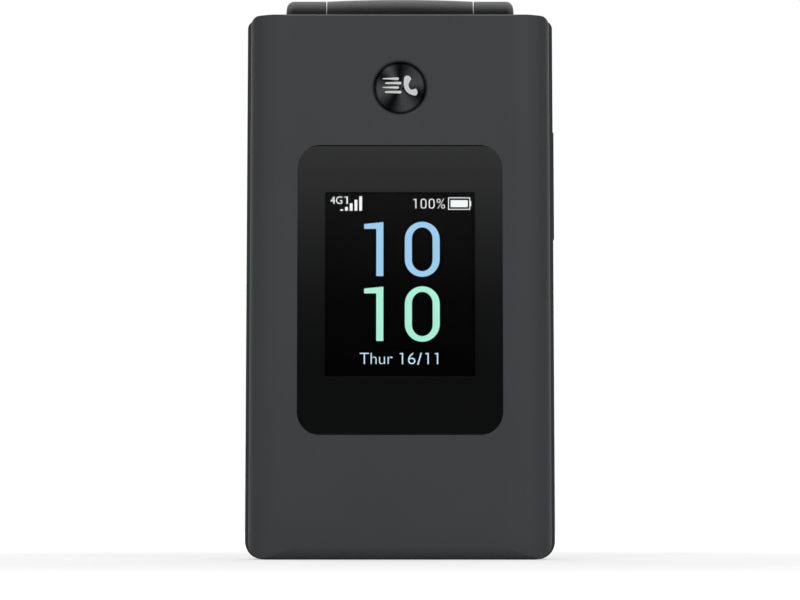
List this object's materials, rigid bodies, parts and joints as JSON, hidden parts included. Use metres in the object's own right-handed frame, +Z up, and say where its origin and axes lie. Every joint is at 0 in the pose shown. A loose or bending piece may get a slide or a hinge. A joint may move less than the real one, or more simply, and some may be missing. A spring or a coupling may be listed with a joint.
{
  "type": "flip phone",
  "caption": "Folding mobile phone with a small outer screen and a round call button on the lid, a main screen and number keypad inside, and a removable battery cover.",
  "frame": {"origin": "middle of the shut phone's box, at the bottom end that it stands on", "axes": "+Z up along the phone's length towards the hinge, +X to the right when the lid's outer face is looked at, +Y from the lid to the battery cover"},
  "size_m": [0.0591, 0.0203, 0.1082],
  "materials": {
    "lid_casing": "fine satin, dark graphite",
    "base_casing": "fine satin, dark graphite",
    "cover_casing": "soft-touch, finely grained",
    "inner_casing": "fine satin",
    "dark_glass": "polished, black behind",
    "screen": "black liquid-crystal screen",
    "circuit_board": "solder mask",
    "black_plastic": "moulded",
    "steel": "stamped",
    "gold": "gold plated",
    "rubber": "moulded",
    "rubber_mat": "translucent silicone",
    "button_metal": "black anodised, spun",
    "battery_wrap": "printed film",
    "bezel": "polished",
    "flash": "ribbed, clear",
    "flex": "polyimide film",
    "side_key": "satin",
    "key_plastic": "satin, crowned",
    "ok_key": "satin"
  },
  "bodies": {
    "base": {"base_front_housing": "inner_casing", "base_rear_housing": "base_casing", "battery": "battery_wrap", "main_board": "circuit_board", "board_shields": "steel", "keypad_mat": "rubber_mat", "dome_sheet": "gold", "card_holders": "steel", "loudspeaker": "black_plastic", "camera_module": "black_plastic", "camera_bezel": "bezel", "camera_window": "dark_glass", "flash_lens": "flash", "usb_socket": "steel", "charge_contacts": "gold", "microphone": "steel", "vibration_motor": "steel", "headphone_socket": "black_plastic", "base_screws": "steel", "hinge_unit": "steel", "hinge_tube": "black_plastic"},
    "lid": {"lid_outer_shell": "lid_casing", "lid_inner_frame": "inner_casing", "outer_window": "dark_glass", "outer_display": "screen", "main_window": "dark_glass", "main_display": "screen", "lid_board": "circuit_board", "earpiece": "black_plastic", "earpiece_mesh": "steel", "lid_bumpers": "rubber", "lid_screws": "steel", "closing_magnet": "steel", "button_ring": "black_plastic", "button_switch": "steel", "hinge_flex": "flex"},
    "battery_cover": {"battery_cover": "cover_casing"},
    "call_button": {"call_button": "button_metal"},
    "volume_key": {"volume_key": "side_key"},
    "arrow_up": {"arrow_up": "key_plastic"},
    "arrow_down": {"arrow_down": "key_plastic"},
    "arrow_left": {"arrow_left": "key_plastic"},
    "arrow_right": {"arrow_right": "key_plastic"},
    "ok_key": {"ok_key": "ok_key"},
    "soft_key_left": {"soft_key_left": "key_plastic"},
    "soft_key_right": {"soft_key_right": "key_plastic"},
    "talk_key": {"talk_key": "key_plastic"},
    "end_key": {"end_key": "key_plastic"},
    "key_1": {"key_1": "key_plastic"},
    "key_2": {"key_2": "key_plastic"},
    "key_3": {"key_3": "key_plastic"},
    "key_4": {"key_4": "key_plastic"},
    "key_5": {"key_5": "key_plastic"},
    "key_6": {"key_6": "key_plastic"},
    "key_7": {"key_7": "key_plastic"},
    "key_8": {"key_8": "key_plastic"},
    "key_9": {"key_9": "key_plastic"},
    "key_star": {"key_star": "key_plastic"},
    "key_0": {"key_0": "key_plastic"},
    "key_hash": {"key_hash": "key_plastic"}
  },
  "joints": [
    {"name": "flip_hinge", "type": "hinge", "parent": "base", "child": "lid", "pos_m": [0, -0.001, 0.103], "axis": [-1, 0, 0], "range_deg": [0, 160]},
    {"name": "call_button_press", "type": "slide", "parent": "lid", "child": "call_button", "axis": [0, 1, 0], "range_m": [0, 0.0003], "stiffness_N_per_m": 4000},
    {"name": "battery_cover_lift", "type": "slide", "parent": "base", "child": "battery_cover", "axis": [0, 1, 0], "range_m": [0, 0.012]},
    {"name": "volume_key_rock", "type": "hinge", "parent": "base", "child": "volume_key", "pos_m": [0.0275, 0.0032, 0.0722], "axis": [0, 1, 0], "range_deg": [-1.2, 1.2], "stiffness_Nm_per_rad": 0.8},
    {"name": "arrow_up_press", "type": "slide", "parent": "base", "child": "arrow_up", "axis": [0, 1, 0], "range_m": [0, 0.00035], "stiffness_N_per_m": 4000},
    {"name": "arrow_down_press", "type": "slide", "parent": "base", "child": "arrow_down", "axis": [0, 1, 0], "range_m": [0, 0.00035], "stiffness_N_per_m": 4000},
    {"name": "arrow_left_press", "type": "slide", "parent": "base", "child": "arrow_left", "axis": [0, 1, 0], "range_m": [0, 0.00035], "stiffness_N_per_m": 4000},
    {"name": "arrow_right_press", "type": "slide", "parent": "base", "child": "arrow_right", "axis": [0, 1, 0], "range_m": [0, 0.00035], "stiffness_N_per_m": 4000},
    {"name": "ok_key_press", "type": "slide", "parent": "base", "child": "ok_key", "axis": [0, 1, 0], "range_m": [0, 0.00035], "stiffness_N_per_m": 4000},
    {"name": "soft_key_left_press", "type": "slide", "parent": "base", "child": "soft_key_left", "axis": [0, 1, 0], "range_m": [0, 0.00035], "stiffness_N_per_m": 4000},
    {"name": "soft_key_right_press", "type": "slide", "parent": "base", "child": "soft_key_right", "axis": [0, 1, 0], "range_m": [0, 0.00035], "stiffness_N_per_m": 4000},
    {"name": "talk_key_press", "type": "slide", "parent": "base", "child": "talk_key", "axis": [0, 1, 0], "range_m": [0, 0.00035], "stiffness_N_per_m": 4000},
    {"name": "end_key_press", "type": "slide", "parent": "base", "child": "end_key", "axis": [0, 1, 0], "range_m": [0, 0.00035], "stiffness_N_per_m": 4000},
    {"name": "key_1_press", "type": "slide", "parent": "base", "child": "key_1", "axis": [0, 1, 0], "range_m": [0, 0.00035], "stiffness_N_per_m": 4000},
    {"name": "key_2_press", "type": "slide", "parent": "base", "child": "key_2", "axis": [0, 1, 0], "range_m": [0, 0.00035], "stiffness_N_per_m": 4000},
    {"name": "key_3_press", "type": "slide", "parent": "base", "child": "key_3", "axis": [0, 1, 0], "range_m": [0, 0.00035], "stiffness_N_per_m": 4000},
    {"name": "key_4_press", "type": "slide", "parent": "base", "child": "key_4", "axis": [0, 1, 0], "range_m": [0, 0.00035], "stiffness_N_per_m": 4000},
    {"name": "key_5_press", "type": "slide", "parent": "base", "child": "key_5", "axis": [0, 1, 0], "range_m": [0, 0.00035], "stiffness_N_per_m": 4000},
    {"name": "key_6_press", "type": "slide", "parent": "base", "child": "key_6", "axis": [0, 1, 0], "range_m": [0, 0.00035], "stiffness_N_per_m": 4000},
    {"name": "key_7_press", "type": "slide", "parent": "base", "child": "key_7", "axis": [0, 1, 0], "range_m": [0, 0.00035], "stiffness_N_per_m": 4000},
    {"name": "key_8_press", "type": "slide", "parent": "base", "child": "key_8", "axis": [0, 1, 0], "range_m": [0, 0.00035], "stiffness_N_per_m": 4000},
    {"name": "key_9_press", "type": "slide", "parent": "base", "child": "key_9", "axis": [0, 1, 0], "range_m": [0, 0.00035], "stiffness_N_per_m": 4000},
    {"name": "key_star_press", "type": "slide", "parent": "base", "child": "key_star", "axis": [0, 1, 0], "range_m": [0, 0.00035], "stiffness_N_per_m": 4000},
    {"name": "key_0_press", "type": "slide", "parent": "base", "child": "key_0", "axis": [0, 1, 0], "range_m": [0, 0.00035], "stiffness_N_per_m": 4000},
    {"name": "key_hash_press", "type": "slide", "parent": "base", "child": "key_hash", "axis": [0, 1, 0], "range_m": [0, 0.00035], "stiffness_N_per_m": 4000}
  ]
}
